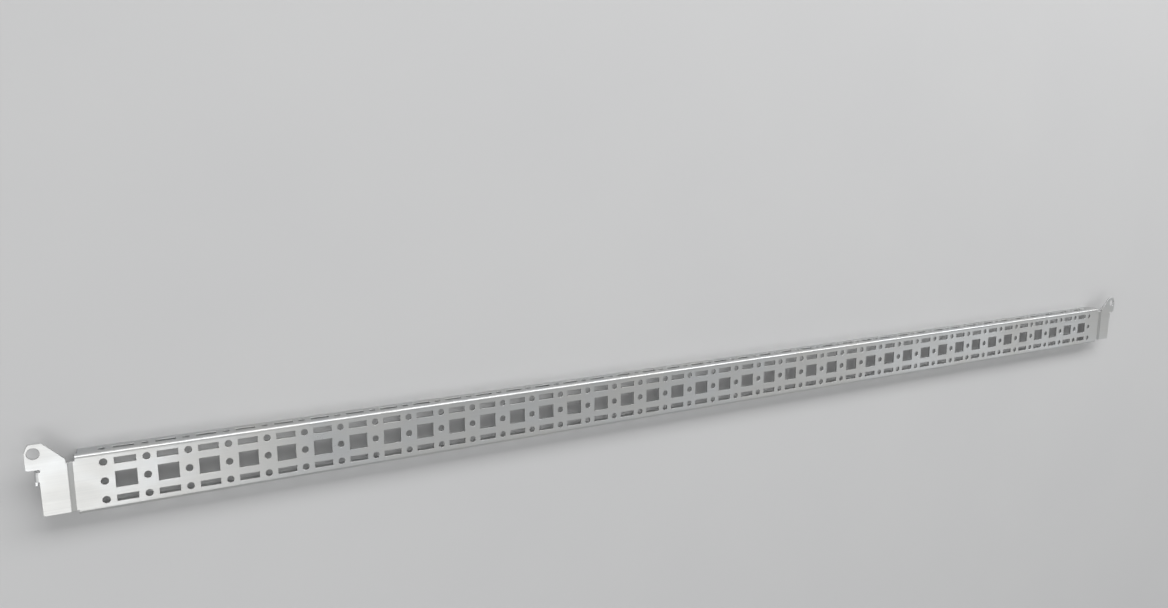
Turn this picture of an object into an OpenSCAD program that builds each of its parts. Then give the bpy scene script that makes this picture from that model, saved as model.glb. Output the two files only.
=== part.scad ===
// Enclosure chassis rail: one strip of zinc-plated sheet steel, punched and folded to a channel.
// It lies face up on its flange edges. X runs along the rail, Y across its face to the ears, Z is up.
// The origin is on the floor that the flange edges lie on, under the middle of the rail's box.

/* [Sheet and section] */
// Thickness of the sheet
sheet_t = 1.5; // [1:0.1:2]
// Height of the channel over both flanges
section_h = 39; // [37:0.5:60]
// Depth of the channel from its front face to the flange edges
section_d = 14; // [12:0.5:30]
// Inner radius of the folds
fold_r = 1; // [0.6:0.1:1.4]

/* [Punched grid] */
// Distance from one hole column to the next
pitch = 25; // [22:0.5:40]
// Number of hole columns
columns = 41; // [7:2:61]
// Distance from the middle row to the rows above and below it
row_pitch = 12.5; // [11.5:0.25:12.75]
// Diameter of the round holes
hole_d = 4.5; // [3:0.1:5]
// Length of the windows and slots along the rail
window_w = 12.5; // [8:0.25:14]
// Height of the windows in the middle row
window_h = 10.5; // [6:0.25:12]
// Width of the slots in the outer rows and the flanges
slot_h = 4; // [2:0.1:4.5]
// Distance of the flange row from the front face
flange_row = 7; // [6.2:0.1:8]

/* [Rail ends] */
// Length of the folded channel past the last hole column
flange_end = 15.8; // [14:0.1:16.2]
// Length that the flanges are set back behind the fold
setback = 2; // [0.5:0.1:3]
// Distance from the front face to the start of that set back
setback_from = 4; // [3:0.25:6]
// Distance from the last hole column to the start of the joggle
joggle_start = 17; // [16.6:0.1:18]
// Length of the joggle that sets the tab forward by one sheet
joggle_run = 2.6; // [2.2:0.1:3.4]
// Flat length between the joggle and the tab's upright inner edge
joggle_flat = 0.2; // [0.1:0.1:1]
// Depth of the relief notch below the channel's top
notch_top = 3.6; // [3:0.1:4.5]
// Height of the relief notch above the channel's underside
notch_bottom = 3; // [2.6:0.1:4]

/* [Screw tab] */
// Distance from the last hole column to the tab's outer edge
tab_reach = 35.4; // [34:0.1:37]
// Distance from the last hole column to the ear's outer edge
ear_reach = 42.5; // [41.5:0.1:44]
// Distance from the last hole column to the screw hole
screw_reach = 37.5; // [37:0.1:38]
// Height of the ear's top edge above the channel's top
ear_rise = 11; // [10:0.25:16]
// Drop of the ear's lower edge below the channel's top
ear_drop = 5.7; // [4.5:0.1:6]
// Length of the ear's top edge
ear_top_w = 7.7; // [6:0.1:9]
// Width of the slanted outer corner of the ear
ear_slant_w = 2.3; // [1.5:0.1:3]
// Height of the slanted outer corner of the ear
ear_slant_h = 5.1; // [3:0.1:6]
// Diameter of the screw hole
screw_d = 7; // [5:0.1:7.5]
// Height of the screw hole above the channel's top
screw_rise = 5; // [4.5:0.1:5.5]
// Height of the tab's upright inner edge above the relief notch
tab_step = 2.6; // [1:0.1:3.5]
// Radius of the tab's small corners
corner_r = 1.6; // [0.8:0.1:2]

/* [Hook lug] */
// Height of the hook's root on the tab's outer edge
lug_h = 6.5; // [5:0.1:8]
// Width of the relief slot between the hook's root and the ear
relief_w = 1.4; // [1:0.1:1.8]
// Inner radius of the hook's fold
lug_r = 1.1; // [0.8:0.1:1.4]
// Gap between the tab's back and the hook's lip
lip_gap = 2; // [1.6:0.1:3]
// Depth of the hook's lip
lip_d = 4; // [3:0.1:6]
// Length of the lip below the hook's root
lip_drop = 4; // [2:0.1:6]
// Corner chamfer of the lip's tip
lip_chamfer = 1; // [0.4:0.1:1.4]

/* [Hidden] */
$fn = 64;

// Overlap of the cutting tools past the sheet's faces
over = 1;
// Overlap of the corner tools past the two sides of a corner
lap = 0.4;
// Stand-off of the corner tools, so that their arcs cross both sides
hair = 0.001;

// Outer radii of the folds
fold_outer = fold_r + sheet_t;
lug_outer = lug_r + sheet_t;

// Lengthwise stations, from the middle of the rail
last_column = (columns - 1) * pitch / 2;
flange_x = last_column + flange_end;
joggle_x = last_column + joggle_start;
joggle_angle = atan(sheet_t / joggle_run);
joggle_blend = fold_outer * tan(joggle_angle / 2);
tab_x = joggle_x + joggle_run + joggle_blend + joggle_flat;
edge_x = last_column + tab_reach;
ear_x = last_column + ear_reach;

// The shapes are drawn upright, with depth Y from the front face at 0 and height Z from the lower flange.
// The tab's front is one sheet before the front face.
tab_y = -sheet_t;

// Height stations of the rail and its hook
mid_z = section_h / 2;
strip_bottom = notch_bottom;
strip_top = section_h - notch_top;
ear_top = section_h + ear_rise;
ear_bottom = section_h - ear_drop;
screw_z = section_h + screw_rise;
lug_top = ear_bottom - relief_w;
lug_bottom = lug_top - lug_h;

zinc = [0.80, 0.82, 0.84];

// The corner at b rounded to radius r, as a tool that takes the corner off or fills it in
module corner_tool(a, b, c, r) {
    u = (a - b) / norm(a - b);
    v = (c - b) / norm(c - b);
    w = (u + v) / norm(u + v);
    half = acos(u * v) / 2;
    run = r / tan(half);
    middle = w * r / sin(half);
    past = lap / r;
    translate(b - hair * w)
        difference() {
            polygon([
                -past * middle,
                (1 + past) * run * u - past * middle,
                middle,
                (1 + past) * run * v - past * middle,
            ]);
            translate(middle) circle(r);
        }
}

// The channel's section: depth to the right, height up, its front face at 0
module section() {
    inner_d = section_d - sheet_t + over;
    difference() {
        square([section_d, section_h]);
        translate([sheet_t, sheet_t]) square([inner_d, section_h - 2 * sheet_t]);
        fold_tools(0, fold_outer);
    }
    fold_tools(sheet_t, fold_r);
}

// The tools that round both folds of the section, at a face set in by the given depth
module fold_tools(inset, r) {
    low = inset;
    high = section_h - inset;
    far = section_d;
    corner_tool([inset, mid_z], [inset, low], [far, low], r);
    corner_tool([inset, mid_z], [inset, high], [far, high], r);
}

// The folded channel over its full length, with the flanges set back behind the folds
module channel() {
    inner_x = flange_x - setback;
    difference() {
        translate([-flange_x, 0, 0])
            rotate([90, 0, 90])
                linear_extrude(2 * flange_x) section();
        for (side = [-1, 1])
            translate([0, 0, -over])
                linear_extrude(section_h + 2 * over)
                    polygon([
                        [side * inner_x, section_d + over],
                        [side * inner_x, setback_from + setback],
                        [side * flange_x, setback_from],
                        [side * (flange_x + over), setback_from],
                        [side * (flange_x + over), section_d + over],
                    ]);
    }
}

// Places its children at every hole column
module at_columns() {
    for (i = [0 : columns - 1])
        translate([i * pitch - last_column, 0]) children();
}

// Places its children halfway between neighbouring hole columns
module at_windows() {
    for (i = [0 : columns - 2])
        translate([(i + 0.5) * pitch - last_column, 0]) children();
}

// Outline of the face's punchings, lengthwise and height
module face_pattern() {
    for (row = [-1 : 1])
        translate([0, mid_z + row * row_pitch]) {
            at_columns() circle(d = hole_d);
            at_windows() square([window_w, row == 0 ? window_h : slot_h], center = true);
        }
}

// Outline of a flange's punchings, lengthwise and depth
module flange_pattern() {
    translate([0, flange_row]) {
        at_columns() circle(d = hole_d);
        at_windows() square([window_w, slot_h], center = true);
    }
}

// Sets an upright outline, drawn lengthwise and height, as a plate from the given depth backward
module upright(y, depth) {
    translate([0, y + depth, 0]) rotate([90, 0, 0]) linear_extrude(depth) children();
}

// The tab plate with its ear, as an outline that is drawn lengthwise and height
module tab_outline() {
    top_in = [ear_x - ear_slant_w - ear_top_w, ear_top];
    step = [tab_x, strip_top + tab_step];
    points = [
        [tab_x, strip_bottom],
        [edge_x, strip_bottom],
        [edge_x, ear_bottom],
        [ear_x, ear_bottom],
        [ear_x, ear_top - ear_slant_h],
        [ear_x - ear_slant_w, ear_top],
        top_in,
        step,
    ];
    rounded = [1, 3, 4, 5, 6, 7];
    difference() {
        polygon(points);
        for (i = rounded)
            corner_tool(points[i - 1], points[i], points[(i + 1) % len(points)], corner_r);
        translate([last_column + screw_reach, screw_z]) circle(d = screw_d);
        translate([edge_x, lug_top + relief_w / 2]) circle(d = relief_w);
    }
}

// Outline of the web strip and its joggle from above, one sheet thick all along
module joggle_outline() {
    front = [
        [flange_x - over, 0],
        [joggle_x, 0],
        [joggle_x + joggle_run, tab_y],
        [tab_x, tab_y],
    ];
    shift = sheet_t * [tan(joggle_angle / 2), 1];
    back = [
        front[0] + [0, sheet_t],
        front[1] + shift,
        front[2] + shift,
        front[3] + [0, sheet_t],
    ];
    difference() {
        polygon([for (i = [0 : 3]) front[i], for (i = [3 : -1 : 0]) back[i]]);
        corner_tool(front[1], front[2], front[3], fold_outer);
        corner_tool(back[0], back[1], back[2], fold_outer);
    }
    corner_tool(front[0], front[1], front[2], fold_r);
    corner_tool(back[1], back[2], back[3], fold_r);
}

// The web strip between the channel's end and the tab plate
module strip() {
    translate([0, 0, strip_bottom])
        linear_extrude(strip_top - strip_bottom) joggle_outline();
}

// The hook lug: a fold at the tab's outer edge and a flat lip behind it
module hook() {
    translate([edge_x, lug_r, lug_bottom])
        linear_extrude(lug_h)
            intersection() {
                difference() {
                    circle(lug_outer);
                    circle(lug_r);
                }
                translate([0, -lug_outer]) square(lug_outer);
            }
    lip_front = lip_gap - lug_r;
    lip_back = lip_front + lip_d;
    tip = -lip_drop;
    translate([edge_x + lug_r, lug_r, lug_bottom])
        rotate([90, 0, 90])
            linear_extrude(sheet_t)
                polygon([
                    [0, 0],
                    [lip_front, 0],
                    [lip_front, tip + lip_chamfer],
                    [lip_front + lip_chamfer, tip],
                    [lip_back - lip_chamfer, tip],
                    [lip_back, tip + lip_chamfer],
                    [lip_back, lug_h],
                    [0, lug_h],
                ]);
}

// One end of the rail past its flanges
module rail_end() {
    strip();
    upright(tab_y, sheet_t) tab_outline();
    hook();
}

// The whole rail, one piece of folded sheet, drawn upright
module chassis_rail() {
    color(zinc)
        difference() {
            union() {
                channel();
                rail_end();
                mirror([1, 0, 0]) rail_end();
            }
            upright(-over, sheet_t + 2 * over) face_pattern();
            translate([0, 0, -over]) linear_extrude(section_h + 2 * over) flange_pattern();
        }
}

// Lays what is drawn upright face up on the floor, with the middle of its box over the origin
module laid_face_up() {
    translate([0, -ear_top / 2, section_d]) rotate([-90, 0, 0]) children();
}

laid_face_up() chassis_rail();
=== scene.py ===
"""Looks of an enclosure chassis rail: one strip of zinc-plated sheet steel, punched and folded.

The rail lies face up on its flange edges, on a plain pale floor. X runs along the rail, Y across
its face to the ears, and Z is up. The sheet that is shown is a copy of the solid, with the rims
that a punch draws in, the bright and the torn band of every cut wall, and the grain of the plated
strip.
"""

from __future__ import annotations

import logging
import math
from dataclasses import dataclass, field
from enum import IntEnum

import bmesh
import bpy
from mathutils import Matrix, Vector
from mathutils.bvhtree import BVHTree


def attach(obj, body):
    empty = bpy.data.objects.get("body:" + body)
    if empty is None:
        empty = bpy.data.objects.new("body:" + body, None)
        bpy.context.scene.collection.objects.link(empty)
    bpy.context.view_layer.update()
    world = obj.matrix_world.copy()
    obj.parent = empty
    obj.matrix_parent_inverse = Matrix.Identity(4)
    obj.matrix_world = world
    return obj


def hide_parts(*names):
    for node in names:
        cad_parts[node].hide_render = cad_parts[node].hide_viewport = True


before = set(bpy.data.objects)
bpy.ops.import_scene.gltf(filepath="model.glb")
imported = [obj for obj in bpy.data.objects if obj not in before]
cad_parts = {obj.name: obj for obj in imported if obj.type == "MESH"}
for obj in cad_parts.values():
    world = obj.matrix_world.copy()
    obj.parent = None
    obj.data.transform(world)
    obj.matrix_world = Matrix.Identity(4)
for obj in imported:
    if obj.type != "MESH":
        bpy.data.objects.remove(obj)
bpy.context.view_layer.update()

LOG = logging.getLogger("chassis_rail")
MM = 0.001
# Vertex layer that says how deep the punch had gone, from 0 where it enters to 1 where it leaves.
BITE_LAYER = "bite"

Colour = tuple[float, float, float, float]
Triple = tuple[float, float, float]
Pair = tuple[float, float]
Tree = bpy.types.NodeTree
Socket = bpy.types.NodeSocket


def linear(code: str) -> Colour:
    """Turns an sRGB hex colour to a linear one.

    Args:
        code: The colour as "#RRGGBB".

    Returns:
        Red, green, blue and an alpha of 1, all linear.
    """
    parts = [int(code[i : i + 2], 16) / 255 for i in (1, 3, 5)]
    red, green, blue = (p / 12.92 if p <= 0.04045 else ((p + 0.055) / 1.055) ** 2.4 for p in parts)
    return red, green, blue, 1.0


def add_node(
    tree: Tree, kind: str, settings: dict[str, object], inputs: dict[str | int, object]
) -> bpy.types.Node:
    """Adds a node with its settings, values and links.

    Args:
        tree: The tree that gets the node.
        kind: The node's type, without its ShaderNode prefix.
        settings: Properties of the node itself.
        inputs: For each input, by name or place, its value or the output that is linked to it.

    Returns:
        The new node.
    """
    node = tree.nodes.new("ShaderNode" + kind)
    for name, value in settings.items():
        setattr(node, name, value)
    for key, value in inputs.items():
        if isinstance(value, Socket):
            tree.links.new(value, node.inputs[key])
        else:
            node.inputs[key].default_value = value
    return node


def new_material(name: str) -> tuple[bpy.types.Material, Tree]:
    """Makes a material with an empty node tree.

    Args:
        name: The finish's name.

    Returns:
        The material and its tree.
    """
    material = bpy.data.materials.new(name)
    material.use_nodes = True
    material.node_tree.nodes.clear()
    return material, material.node_tree


@dataclass(frozen=True)
class Grain:
    """A random pattern whose patches have a real size.

    Attributes:
        size_mm: Size of a patch along X, Y and Z.
        detail: Number of finer layers in it.
        turn_deg: Turn of the pattern about Z.
        start_mm: Place in the pattern, so that two patterns of one size differ.
    """

    size_mm: Triple
    detail: float = 2.0
    turn_deg: float = 0.0
    start_mm: float = 0.0

    def lay(self, tree: Tree, place: Socket) -> Socket:
        """Lays the pattern over the piece.

        Args:
            tree: The material's node tree.
            place: The output that gives the place on the piece, in metres.

        Returns:
            The output that gives the pattern, about 0.5 in the mean.
        """
        patch = add_node(
            tree,
            "Mapping",
            {"vector_type": "TEXTURE"},
            {
                "Vector": place,
                "Location": (self.start_mm * MM,) * 3,
                "Rotation": (0.0, 0.0, math.radians(self.turn_deg)),
                "Scale": tuple(size * MM for size in self.size_mm),
            },
        )
        noise = add_node(
            tree,
            "TexNoise",
            {},
            {"Vector": patch.outputs["Vector"], "Scale": 1.0, "Detail": self.detail},
        )
        return noise.outputs["Fac"]


@dataclass(frozen=True)
class ZincPlate:
    """Bright zinc plate over cold-rolled steel strip.

    Rolling leaves a fine grain along the strip, the plating bath a soft cloudy tint, and handling
    a few hair scratches. The eye sees a cool satin silver with a long soft sheen, a touch more
    matt on the folds, where the zinc was stretched.

    Attributes:
        name: Name of the finish.
        cool: Colour where the bath left the zinc bluish.
        warm: Colour where the bath left it greyer.
        dull: Colour that the deepest rolling marks lean to.
        dulling: Largest share of that dull colour.
        roughness: Mean roughness.
        roll_gloss: Change of roughness over the rolling marks, to either side.
        haze: Change of roughness over the bath's clouds, to either side.
        fold_matt: Roughness added on the folds.
        hair_gloss: Roughness taken off on a scratch.
        relief: Strength of the grain's relief.
        relief_mm: Depth of the grain's relief.
        roll_depth: Depth of the rolling marks, against that of the fine lines.
        mottle_depth: Depth of the mottle, against that of the fine lines.
        hair_depth: Depth of the scratches, against that of the fine lines.
        tint_span: Values of the clouds between which the colour goes from cool to warm.
        haze_span: Values of the clouds between which the roughness rises.
        dull_span: Values of the rolling marks between which the colour dulls.
        roll_span: Values of the rolling marks between which the roughness falls.
        hair_span: Values of the hair patterns between which a scratch sets in.
        cloud: The clouds that the bath leaves.
        roll: The broad rolling marks.
        line: The fine rolling lines.
        mottle: The small unevenness of the zinc.
        hairs: The scratches, in two directions.
        face_middle_mm: Place of the face's middle along Y.
        fold_half_mm: Distance from there to the folds.
        fold_level_mm: Height of the folds.
        fold_edge_mm: Where the folds set in, from just before these places to just past them.
        fold_end_mm: Distance from the rail's middle to the ends of the folds.
    """

    name: str = "bright_zinc_plate"
    cool: str = "#CDCFD0"
    warm: str = "#D0D0CE"
    dull: str = "#B7B9BA"
    dulling: float = 0.16
    roughness: float = 0.34
    roll_gloss: float = 0.02
    haze: float = 0.05
    fold_matt: float = 0.04
    hair_gloss: float = 0.04
    relief: float = 0.05
    relief_mm: float = 0.02
    roll_depth: float = 0.8
    mottle_depth: float = 0.7
    hair_depth: float = 0.4
    tint_span: Pair = (0.36, 0.64)
    haze_span: Pair = (0.3, 0.7)
    dull_span: Pair = (0.62, 0.3)
    roll_span: Pair = (0.28, 0.72)
    hair_span: Pair = (0.73, 0.79)
    cloud: Grain = Grain((44.0, 30.0, 30.0), 3.0)
    roll: Grain = Grain((70.0, 0.7, 0.7), 3.0, start_mm=7.0)
    # Real rolling lines are some hundredths of a millimetre apart; they are drawn coarser so that
    # they show.
    line: Grain = Grain((26.0, 0.35, 0.35), 2.0, start_mm=19.0)
    mottle: Grain = Grain((1.8, 1.4, 1.4), 2.0, start_mm=31.0)
    hairs: tuple[Grain, Grain] = (
        Grain((48.0, 0.45, 0.45), 0.5, 24.0, 3.0),
        Grain((21.0, 0.4, 0.4), 0.5, -31.0, 11.0),
    )
    face_middle_mm: float = -5.5
    fold_half_mm: float = 17.0
    fold_level_mm: float = 11.5
    fold_edge_mm: Pair = (-1.0, 0.6)
    fold_end_mm: float = 515.8

    def build(self) -> bpy.types.Material:
        """Makes the plate's material.

        Returns:
            The finished material.
        """
        material, tree = new_material(self.name)
        place = add_node(tree, "TexCoord", {}, {}).outputs["Object"]
        cloud = self.cloud.lay(tree, place)
        roll = self.roll.lay(tree, place)
        hair = self.scratch(tree, place)
        fold = self.fold(tree, place)
        shader = add_node(
            tree,
            "BsdfPrincipled",
            {},
            {
                "Base Color": self.tint(tree, cloud, roll),
                "Metallic": 1.0,
                "Roughness": self.gloss(tree, cloud, roll, hair, fold),
                "Normal": self.emboss(tree, place, roll, hair),
            },
        )
        add_node(tree, "OutputMaterial", {}, {"Surface": shader.outputs[0]})
        return material

    def tint(self, tree: Tree, cloud: Socket, roll: Socket) -> Socket:
        """Mixes the zinc's colour.

        Args:
            tree: The material's node tree.
            cloud: The output that gives the bath's clouds.
            roll: The output that gives the rolling marks.

        Returns:
            The output that gives the colour.
        """
        low, high = self.tint_span
        warmth = add_node(tree, "MapRange", {}, {"Value": cloud, "From Min": low, "From Max": high})
        bath = add_node(
            tree,
            "Mix",
            {"data_type": "RGBA"},
            {0: warmth.outputs[0], 6: linear(self.cool), 7: linear(self.warm)},
        )
        low, high = self.dull_span
        share = add_node(
            tree,
            "MapRange",
            {},
            {"Value": roll, "From Min": low, "From Max": high, "To Max": self.dulling},
        )
        rolled = add_node(
            tree,
            "Mix",
            {"data_type": "RGBA"},
            {0: share.outputs[0], 6: bath.outputs[2], 7: linear(self.dull)},
        )
        return rolled.outputs[2]

    def gloss(self, tree: Tree, cloud: Socket, roll: Socket, hair: Socket, fold: Socket) -> Socket:
        """Varies the roughness over marks, clouds, folds and scratches.

        Args:
            tree: The material's node tree.
            cloud: The output that gives the bath's clouds.
            roll: The output that gives the rolling marks.
            hair: The output that is 1 on a scratch.
            fold: The output that is 1 on a fold.

        Returns:
            The output that gives the roughness.
        """
        low, high = self.roll_span
        marked = add_node(
            tree,
            "MapRange",
            {},
            {
                "Value": roll,
                "From Min": low,
                "From Max": high,
                "To Min": self.roughness + self.roll_gloss,
                "To Max": self.roughness - self.roll_gloss,
            },
        )
        low, high = self.haze_span
        haze = add_node(
            tree,
            "MapRange",
            {},
            {
                "Value": cloud,
                "From Min": low,
                "From Max": high,
                "To Min": -self.haze,
                "To Max": self.haze,
            },
        )
        hazy = add_node(
            tree, "Math", {"operation": "ADD"}, {0: marked.outputs[0], 1: haze.outputs[0]}
        )
        stretched = add_node(
            tree,
            "Math",
            {"operation": "MULTIPLY_ADD"},
            {0: fold, 1: self.fold_matt, 2: hazy.outputs[0]},
        )
        scored = add_node(
            tree,
            "Math",
            {"operation": "MULTIPLY_ADD"},
            {0: hair, 1: -self.hair_gloss, 2: stretched.outputs[0]},
        )
        return scored.outputs[0]

    def emboss(self, tree: Tree, place: Socket, roll: Socket, hair: Socket) -> Socket:
        """Gives the surface the relief of its marks, lines, mottle and scratches.

        Args:
            tree: The material's node tree.
            place: The output that gives the place on the piece.
            roll: The output that gives the rolling marks.
            hair: The output that is 1 on a scratch.

        Returns:
            The output that gives the normal.
        """
        height = self.line.lay(tree, place)
        layers = (
            (roll, self.roll_depth),
            (self.mottle.lay(tree, place), self.mottle_depth),
            (hair, -self.hair_depth),
        )
        for layer, depth in layers:
            height = add_node(
                tree, "Math", {"operation": "MULTIPLY_ADD"}, {0: layer, 1: depth, 2: height}
            ).outputs[0]
        bump = add_node(
            tree,
            "Bump",
            {},
            {"Strength": self.relief, "Distance": self.relief_mm * MM, "Height": height},
        )
        return bump.outputs[0]

    def scratch(self, tree: Tree, place: Socket) -> Socket:
        """Draws the hair scratches that handling leaves.

        Args:
            tree: The material's node tree.
            place: The output that gives the place on the piece.

        Returns:
            The output that is 1 on a scratch and 0 beside it.
        """
        low, high = self.hair_span
        marks = [
            add_node(
                tree,
                "MapRange",
                {},
                {"Value": hair.lay(tree, place), "From Min": low, "From Max": high},
            ).outputs[0]
            for hair in self.hairs
        ]
        either = add_node(tree, "Math", {"operation": "MAXIMUM"}, {0: marks[0], 1: marks[1]})
        return either.outputs[0]

    def fold(self, tree: Tree, place: Socket) -> Socket:
        """Finds the two long folds.

        Args:
            tree: The material's node tree.
            place: The output that gives the place on the piece.

        Returns:
            The output that rises from 0 on the flats to 1 on a fold.
        """
        parts = add_node(tree, "SeparateXYZ", {}, {0: place})
        across = add_node(
            tree,
            "Math",
            {"operation": "SUBTRACT"},
            {0: parts.outputs["Y"], 1: self.face_middle_mm * MM},
        )
        away = add_node(tree, "Math", {"operation": "ABSOLUTE"}, {0: across.outputs[0]})
        before, past = self.fold_edge_mm
        beside, above = (
            add_node(
                tree,
                "MapRange",
                {},
                {
                    "Value": measure,
                    "From Min": (start_mm + before) * MM,
                    "From Max": (start_mm + past) * MM,
                },
            )
            for measure, start_mm in (
                (away.outputs[0], self.fold_half_mm),
                (parts.outputs["Z"], self.fold_level_mm),
            )
        )
        along = add_node(tree, "Math", {"operation": "ABSOLUTE"}, {0: parts.outputs["X"]})
        within = add_node(
            tree,
            "Math",
            {"operation": "LESS_THAN"},
            {0: along.outputs[0], 1: self.fold_end_mm * MM},
        )
        corner = add_node(
            tree, "Math", {"operation": "MULTIPLY"}, {0: beside.outputs[0], 1: above.outputs[0]}
        )
        fold = add_node(
            tree, "Math", {"operation": "MULTIPLY"}, {0: corner.outputs[0], 1: within.outputs[0]}
        )
        return fold.outputs[0]


@dataclass(frozen=True)
class PunchedWall:
    """The cut through the sheet that a punch leaves.

    The punch first shears a bright smooth band and then tears the rest, which stays grey and
    grainy. The plating covers both thinly.

    Attributes:
        name: Name of the finish.
        sheared: Colour of the smooth band.
        torn: Colour of the torn band.
        roughness: Roughness of the smooth and of the torn band.
        relief: Strength of the torn band's relief.
        relief_mm: Depth of the torn band's relief.
        wander: How far the line between the bands strays, as a share of the sheet.
        tear_span: Depths, with that straying, between which the smooth band tears.
        edge: The straying of the line between the bands.
        tear: The grain of the torn band.
    """

    name: str = "punched_zinc_wall"
    sheared: str = "#CBD0D4"
    torn: str = "#969CA2"
    roughness: Pair = (0.3, 0.56)
    relief: float = 0.5
    relief_mm: float = 0.06
    wander: float = 0.5
    tear_span: Pair = (0.64, 0.76)
    edge: Grain = Grain((0.9, 0.9, 0.9), 2.0)
    # The torn grain is a few hundredths of a millimetre; it is drawn coarser so that it shows.
    tear: Grain = Grain((0.3, 0.3, 0.3), 3.0, start_mm=5.0)

    def build(self) -> bpy.types.Material:
        """Makes the cut wall's material.

        Returns:
            The finished material.
        """
        material, tree = new_material(self.name)
        place = add_node(tree, "TexCoord", {}, {}).outputs["Object"]
        bite = add_node(tree, "Attribute", {"attribute_name": BITE_LAYER}, {}).outputs["Fac"]
        depth = add_node(
            tree,
            "Math",
            {"operation": "MULTIPLY_ADD"},
            {0: self.edge.lay(tree, place), 1: self.wander, 2: bite},
        )
        low, high = self.tear_span
        torn = add_node(
            tree, "MapRange", {}, {"Value": depth.outputs[0], "From Min": low, "From Max": high}
        ).outputs[0]
        colour = add_node(
            tree,
            "Mix",
            {"data_type": "RGBA"},
            {0: torn, 6: linear(self.sheared), 7: linear(self.torn)},
        )
        smooth, grainy = self.roughness
        rough = add_node(tree, "MapRange", {}, {"Value": torn, "To Min": smooth, "To Max": grainy})
        grain = add_node(
            tree, "Math", {"operation": "MULTIPLY"}, {0: self.tear.lay(tree, place), 1: torn}
        )
        bump = add_node(
            tree,
            "Bump",
            {},
            {"Strength": self.relief, "Distance": self.relief_mm * MM, "Height": grain.outputs[0]},
        )
        shader = add_node(
            tree,
            "BsdfPrincipled",
            {},
            {
                "Base Color": colour.outputs[2],
                "Metallic": 1.0,
                "Roughness": rough.outputs[0],
                "Normal": bump.outputs[0],
            },
        )
        add_node(tree, "OutputMaterial", {}, {"Surface": shader.outputs[0]})
        return material


@dataclass(frozen=True)
class BurnishedRim:
    """The rim of a cut, drawn in by the punch and polished bright by tools and hands.

    Attributes:
        name: Name of the finish.
        bright: Colour where it is polished most.
        rubbed: Colour where it is polished least.
        roughness: Roughness at these two.
        wear_span: Values of the patches between which the polish wears off.
        patch: The patches of more and less polish.
    """

    name: str = "burnished_zinc_rim"
    bright: str = "#D8DBDE"
    rubbed: str = "#BCC2C8"
    roughness: Pair = (0.26, 0.36)
    wear_span: Pair = (0.38, 0.62)
    patch: Grain = Grain((5.0, 5.0, 5.0), 2.0, start_mm=2.0)

    def build(self) -> bpy.types.Material:
        """Makes the rim's material.

        Returns:
            The finished material.
        """
        material, tree = new_material(self.name)
        place = add_node(tree, "TexCoord", {}, {}).outputs["Object"]
        low, high = self.wear_span
        wear = add_node(
            tree,
            "MapRange",
            {},
            {"Value": self.patch.lay(tree, place), "From Min": low, "From Max": high},
        ).outputs[0]
        colour = add_node(
            tree,
            "Mix",
            {"data_type": "RGBA"},
            {0: wear, 6: linear(self.bright), 7: linear(self.rubbed)},
        )
        most, least = self.roughness
        rough = add_node(tree, "MapRange", {}, {"Value": wear, "To Min": most, "To Max": least})
        shader = add_node(
            tree,
            "BsdfPrincipled",
            {},
            {"Base Color": colour.outputs[2], "Metallic": 1.0, "Roughness": rough.outputs[0]},
        )
        add_node(tree, "OutputMaterial", {}, {"Surface": shader.outputs[0]})
        return material


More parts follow.
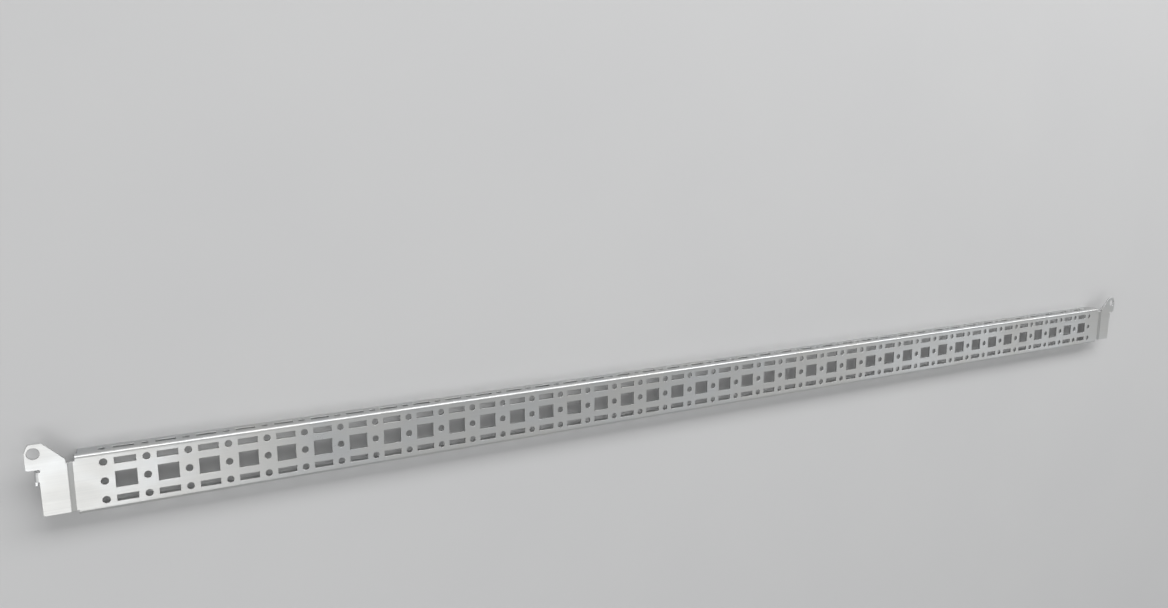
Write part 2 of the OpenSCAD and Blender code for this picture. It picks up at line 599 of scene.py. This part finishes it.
@dataclass(frozen=True)
class PaleFloor:
    """A painted studio floor: matt, pale and very slightly uneven, and lost in the walls far off.

    Attributes:
        name: Name of the finish.
        light: Lightest colour of the paint.
        dark: Darkest colour of the paint.
        backdrop: Colour of the far floor and of the walls behind it.
        fade_m: Distances between which the floor fades into that backdrop.
        roughness: Roughness of the paint.
        relief: Strength of the paint's relief.
        relief_mm: Depth of the paint's relief.
        cloud: The unevenness of the paint's colour.
        roller: The relief that the paint roller leaves.
    """

    name: str = "matt_floor_paint"
    light: str = "#D6D6D6"
    dark: str = "#D1D1D2"
    backdrop: str = "#C4C4C5"
    fade_m: Pair = (0.7, 1.9)
    roughness: float = 0.7
    relief: float = 0.1
    relief_mm: float = 0.05
    cloud: Grain = Grain((160.0, 160.0, 160.0), 3.0)
    roller: Grain = Grain((2.2, 2.2, 2.2), 2.0)

    def build(self) -> bpy.types.Material:
        """Makes the floor's material.

        Returns:
            The finished material.
        """
        material, tree = new_material(self.name)
        place = add_node(tree, "TexCoord", {}, {}).outputs["Object"]
        colour = add_node(
            tree,
            "Mix",
            {"data_type": "RGBA"},
            {0: self.cloud.lay(tree, place), 6: linear(self.dark), 7: linear(self.light)},
        )
        bump = add_node(
            tree,
            "Bump",
            {},
            {
                "Strength": self.relief,
                "Distance": self.relief_mm * MM,
                "Height": self.roller.lay(tree, place),
            },
        )
        paint = add_node(
            tree,
            "BsdfPrincipled",
            {},
            {
                "Base Color": colour.outputs[2],
                "Roughness": self.roughness,
                "Normal": bump.outputs[0],
            },
        )
        backdrop = add_node(
            tree, "Emission", {}, {"Color": linear(self.backdrop), "Strength": 1.0}
        )
        surface = add_node(
            tree,
            "MixShader",
            {},
            {0: self.fade(tree, place), 1: paint.outputs[0], 2: backdrop.outputs[0]},
        )
        add_node(tree, "OutputMaterial", {}, {"Surface": surface.outputs[0]})
        return material

    def fade(self, tree: Tree, place: Socket) -> Socket:
        """Finds how far the floor has faded, for the eye and in mirror images, but not as light.

        Args:
            tree: The material's node tree.
            place: The output that gives the place on the floor.

        Returns:
            The output that rises from 0 under the rail to 1 far off.
        """
        away = add_node(tree, "VectorMath", {"operation": "LENGTH"}, {0: place})
        near, far = self.fade_m
        faded = add_node(
            tree,
            "MapRange",
            {"interpolation_type": "SMOOTHSTEP"},
            {"Value": away.outputs["Value"], "From Min": near, "From Max": far},
        )
        ray = add_node(tree, "LightPath", {}, {}).outputs
        mirrored = add_node(
            tree,
            "Math",
            {"operation": "ADD"},
            {0: ray["Is Glossy Ray"], 1: ray["Is Transmission Ray"]},
        )
        seen = add_node(
            tree,
            "Math",
            {"operation": "ADD", "use_clamp": True},
            {0: ray["Is Camera Ray"], 1: mirrored.outputs[0]},
        )
        share = add_node(
            tree, "Math", {"operation": "MULTIPLY"}, {0: faded.outputs[0], 1: seen.outputs[0]}
        )
        return share.outputs[0]


class Skin(IntEnum):
    """The sheet's surfaces by how they were made, which are also its material slots."""

    OUTER = 0
    INNER = 1
    WALL = 2
    RIM = 3


@dataclass
class PunchedRail:
    """The rail's sheet with its punched rims.

    Attributes:
        node: The solid that the sheet is copied from and stands for.
        name: Name of the piece.
        slot: Name of a colour slot; not used.
        merge_mm: Distance within which the solid's loose corners are joined.
        crisp_deg: Smallest turn between the two faces of a crisp edge.
        flat_deg: Largest turn between two faces that are joined to one flat.
        entry_mm: Width of the rim that the punch draws in where it enters.
        entry_steps: Number of facets across that rim.
        exit_mm: Width of the small break where the punch leaves.
        exit_steps: Number of facets across that break.
        trees: Search trees of the sheet's two sides, filled while it is built.
    """

    node: str = "chassis_rail"
    name: str = "chassis_rail_sheet"
    slot: str = "zinc_plated_steel"
    merge_mm: float = 0.002
    crisp_deg: float = 38.0
    flat_deg: float = 0.5
    entry_mm: float = 0.4
    entry_steps: int = 3
    exit_mm: float = 0.1
    exit_steps: int = 1
    trees: dict[Skin, BVHTree] = field(default_factory=dict)

    def build(self) -> bpy.types.Object:
        """Copies the solid and gives it the rims and walls of punched sheet.

        Returns:
            The finished piece, which rides on the rail's body.
        """
        bm = bmesh.new()
        bm.from_mesh(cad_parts[self.node].data)
        bmesh.ops.remove_doubles(bm, verts=bm.verts[:], dist=self.merge_mm * MM)
        self.part_skins(bm)
        bmesh.ops.dissolve_limit(
            bm,
            angle_limit=math.radians(self.flat_deg),
            verts=bm.verts[:],
            edges=bm.edges[:],
            delimit={"MATERIAL"},
        )
        self.round_rims(bm, Skin.OUTER, self.entry_mm, self.entry_steps)
        self.round_rims(bm, Skin.INNER, self.exit_mm, self.exit_steps)
        self.mark_bite(bm)
        self.mark_edges(bm)
        mesh = bpy.data.meshes.new(self.name)
        bm.to_mesh(mesh)
        bm.free()
        piece = bpy.data.objects.new(self.name, mesh)
        bpy.context.scene.collection.objects.link(piece)
        self.dress(piece)
        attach(piece, "root")
        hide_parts(self.node)
        return piece

    def part_skins(self, bm: bmesh.types.BMesh) -> None:
        """Tells the sheet's two sides from its cut walls, and keeps a search tree of each side.

        Each side runs smoothly over the folds and ends at the crisp rim of every cut, so the two
        sides are the two largest smooth patches. The outer side reaches higher than the inner one.

        Args:
            bm: The rail's mesh, whose faces get their slots.
        """
        patches = self.smooth_patches(bm)
        patches.sort(key=lambda patch: sum(face.calc_area() for face in patch), reverse=True)
        sides = sorted(
            patches[:2], key=lambda patch: max(face.calc_center_median().z for face in patch)
        )
        for face in bm.faces:
            face.material_index = Skin.WALL
        bm.verts.index_update()
        places = [vert.co.copy() for vert in bm.verts]
        for skin, side in zip((Skin.INNER, Skin.OUTER), sides):
            for face in side:
                face.material_index = skin
            corners = [[vert.index for vert in face.verts] for face in side]
            self.trees[skin] = BVHTree.FromPolygons(places, corners)

    def smooth_patches(self, bm: bmesh.types.BMesh) -> list[list[bmesh.types.BMFace]]:
        """Parts the mesh at its crisp edges.

        Args:
            bm: The rail's mesh.

        Returns:
            The faces of each patch.
        """
        crisp = math.radians(self.crisp_deg)
        left = set(bm.faces)
        patches = []
        while left:
            patch = [left.pop()]
            for face in patch:
                for edge in face.edges:
                    if edge.is_manifold and edge.calc_face_angle() < crisp:
                        beside = [other for other in edge.link_faces if other in left]
                        left.difference_update(beside)
                        patch.extend(beside)
            patches.append(patch)
        return patches

    def round_rims(
        self, bm: bmesh.types.BMesh, skin: Skin, width_mm: float, segments: int
    ) -> None:
        """Rounds the rims between one side of the sheet and its cut walls.

        Args:
            bm: The rail's mesh.
            skin: The side whose rims are rounded.
            width_mm: Width of the rounding.
            segments: Number of facets across it.
        """
        rims = [
            edge
            for edge in bm.edges
            if edge.is_manifold
            and {face.material_index for face in edge.link_faces} == {skin, Skin.WALL}
        ]
        made = bmesh.ops.bevel(
            bm,
            geom=rims,
            offset=width_mm * MM,
            offset_type="WIDTH",
            segments=segments,
            profile=0.5,
            affect="EDGES",
            clamp_overlap=False,
            loop_slide=False,
            material=-1,
        )
        for face in made["faces"]:
            face.material_index = Skin.RIM
        LOG.info("%d rim edges of the %s side rounded", len(rims), skin.name.lower())

    def mark_bite(self, bm: bmesh.types.BMesh) -> None:
        """Writes on the cut walls how deep the punch had gone there.

        Args:
            bm: The rail's mesh.
        """
        layer = bm.verts.layers.float.new(BITE_LAYER)
        for vert in bm.verts:
            entered = self.trees[Skin.OUTER].find_nearest(vert.co)[3]
            left = self.trees[Skin.INNER].find_nearest(vert.co)[3]
            vert[layer] = entered / (entered + left)

    def mark_edges(self, bm: bmesh.types.BMesh) -> None:
        """Shades the folds and rims smooth, and keeps the corners crisp.

        Args:
            bm: The rail's mesh.
        """
        crisp = math.radians(self.crisp_deg)
        for face in bm.faces:
            face.smooth = True
        for edge in bm.edges:
            edge.smooth = edge.is_manifold and edge.calc_face_angle() < crisp

    def dress(self, piece: bpy.types.Object) -> None:
        """Gives the piece its finishes, with painted shade on the inner side, and even shading on
        the flats.

        Args:
            piece: The rail's sheet.
        """
        if "custom_normal" in piece.data.attributes:
            piece.data.attributes.remove(piece.data.attributes["custom_normal"])
        finishes = {
            Skin.OUTER: ZincPlate(),
            # The channel's inside gets darker colours than the outside, which are painted shade,
            # and a rougher finish.
            Skin.INNER: ZincPlate(
                name="zinc_plate_painted_shade",
                cool="#A3A6A8",
                warm="#A8A8A6",
                dull="#8F9294",
                roughness=0.44,
            ),
            Skin.WALL: PunchedWall(),
            Skin.RIM: BurnishedRim(),
        }
        piece.data.materials.clear()
        for skin in Skin:
            piece.data.materials.append(finishes[skin].build())
        shading = piece.modifiers.new("even_flats", "WEIGHTED_NORMAL")
        shading.keep_sharp = True


@dataclass
class SoftBox:
    """A plain white studio lamp behind a cloth.

    Attributes:
        name: Name of the lamp.
        place: Middle of its face, in metres.
        aim: The point that it faces.
        size: Width and height of its face, in metres.
        level: Brightness of its face, where 1 shows white.
    """

    name: str
    place: Triple
    aim: Triple
    size: Pair
    level: float

    def build(self) -> bpy.types.Object:
        """Sets the lamp up.

        Returns:
            The lamp.
        """
        width, height = self.size
        lamp = bpy.data.lights.new(self.name, "AREA")
        lamp.shape = "RECTANGLE"
        lamp.size, lamp.size_y = width, height
        lamp.energy = self.level * math.pi * width * height
        stand = bpy.data.objects.new(self.name, lamp)
        bpy.context.scene.collection.objects.link(stand)
        facing = Vector(self.aim) - Vector(self.place)
        turn = facing.to_track_quat("-Z", "Y").to_matrix().to_4x4()
        stand.matrix_world = Matrix.Translation(self.place) @ turn
        return stand


@dataclass
class Studio:
    """The plain pale room: its floor, its walls' light and its lamps.

    Attributes:
        floor_m: Half the floor's width.
        floor_cells: Number of the floor's cells each way.
        paint: Finish of the floor, whose backdrop is also the walls' colour at the horizon.
        wall: Colour of the walls higher up.
        ceiling: Colour overhead, between the lamps.
        heights: Where horizon, wall and ceiling have these colours, as the sine of the height.
        lamps: The lamps, from the rail's left end to its right end, then those beside it.
    """

    floor_m: float = 9.0
    floor_cells: int = 8
    paint: PaleFloor = PaleFloor()
    wall: str = "#949595"
    ceiling: str = "#6E6F6F"
    heights: Triple = (0.03, 0.45, 1.0)
    lamps: tuple[SoftBox, ...] = (
        SoftBox("near_panel", (-0.78, -0.78, 2.2), (-0.78, 0.0, 0.0), (1.05, 1.1), 2.2),
        SoftBox("middle_panel", (1.25, -1.0, 2.2), (1.25, 0.0, 0.0), (2.4, 1.0), 0.5),
        SoftBox("far_panel", (3.5, -1.1, 2.2), (3.5, 0.0, 0.0), (1.9, 1.8), 0.76),
        SoftBox("top_panel", (0.3, 0.5, 2.2), (0.3, 0.0, 0.0), (3.0, 0.7), 0.35),
        SoftBox("long_panel", (1.5, 1.5, 1.15), (1.5, 0.0, 0.0), (5.0, 0.75), 3.8),
        SoftBox("side_card", (-1.6, -0.5, 0.95), (-0.54, 0.0, 0.01), (0.9, 1.5), 0.9),
    )

    def build(self) -> bpy.types.Object:
        """Lays the floor and lights the room.

        Returns:
            The floor.
        """
        bm = bmesh.new()
        cells = self.floor_cells
        bmesh.ops.create_grid(bm, x_segments=cells, y_segments=cells, size=self.floor_m)
        mesh = bpy.data.meshes.new("studio_floor")
        bm.to_mesh(mesh)
        bm.free()
        floor = bpy.data.objects.new("studio_floor", mesh)
        bpy.context.scene.collection.objects.link(floor)
        floor.data.materials.append(self.paint.build())
        self.light_walls()
        for lamp in self.lamps:
            lamp.build()
            LOG.info("lamp %s set up", lamp.name)
        return floor

    def light_walls(self) -> None:
        """Lights the room's walls softly, palest at the horizon."""
        world = bpy.data.worlds.new("studio_walls")
        world.use_nodes = True
        tree = world.node_tree
        tree.nodes.clear()
        way = add_node(tree, "TexCoord", {}, {}).outputs["Generated"]
        parts = add_node(tree, "SeparateXYZ", {}, {0: way})
        ramp = add_node(tree, "ValToRGB", {}, {"Fac": parts.outputs["Z"]})
        horizon, wall, ceiling = self.heights
        low, high = ramp.color_ramp.elements
        low.position, low.color = horizon, linear(self.paint.backdrop)
        high.position, high.color = ceiling, linear(self.ceiling)
        middle = ramp.color_ramp.elements.new(wall)
        middle.color = linear(self.wall)
        light = add_node(tree, "Background", {}, {"Color": ramp.outputs[0], "Strength": 1.0})
        add_node(tree, "OutputWorld", {}, {"Surface": light.outputs[0]})
        bpy.context.scene.world = world


@dataclass
class Viewpoint:
    """The camera, above the rail's left end and looking down along its face.

    Attributes:
        place_mm: Where the camera is.
        yaw: Turn from the face's normal toward the far end, in radians.
        pitch: Turn away from the ears, in radians.
        focal_px: Focal length in pixels of the photograph's frame.
        frame_px: Width of that frame in pixels.
        sensor_mm: Width of the camera's sensor.
        clip_m: Nearest and farthest distance that the camera sees.
    """

    place_mm: Triple = (-512.43, 211.47, 661.43)
    yaw: float = 0.5061
    pitch: float = 0.1784
    focal_px: float = 951.39
    frame_px: float = 1168.0
    sensor_mm: float = 36.0
    clip_m: Pair = (0.01, 100.0)

    def build(self) -> bpy.types.Object:
        """Sets the camera up and makes it the scene's.

        Returns:
            The camera.
        """
        lens = bpy.data.cameras.new("viewpoint")
        lens.sensor_fit = "HORIZONTAL"
        lens.sensor_width = self.sensor_mm
        lens.lens = self.focal_px / self.frame_px * self.sensor_mm
        lens.clip_start, lens.clip_end = self.clip_m
        camera = bpy.data.objects.new("viewpoint", lens)
        bpy.context.scene.collection.objects.link(camera)
        right = Vector((math.cos(self.yaw), 0.0, math.sin(self.yaw)))
        ahead = Vector(
            (
                math.sin(self.yaw) * math.cos(self.pitch),
                -math.sin(self.pitch),
                -math.cos(self.yaw) * math.cos(self.pitch),
            )
        )
        up = right.cross(ahead)
        axes = Matrix((right, up, -ahead)).transposed().to_4x4()
        camera.matrix_world = Matrix.Translation(Vector(self.place_mm) * MM) @ axes
        bpy.context.scene.camera = camera
        return camera


def main() -> None:
    """Builds the rail, the studio and the camera."""
    logging.basicConfig(level=logging.INFO, format="%(name)s: %(message)s")
    bpy.context.scene.view_settings.view_transform = "Standard"
    camera = Viewpoint().build()
    LOG.info("camera %s set up", camera.name)
    rail = PunchedRail().build()
    LOG.info("piece %s built with %d faces", rail.name, len(rail.data.polygons))
    floor = Studio().build()
    LOG.info("floor %s laid", floor.name)


if __name__ == "__main__":
    main()
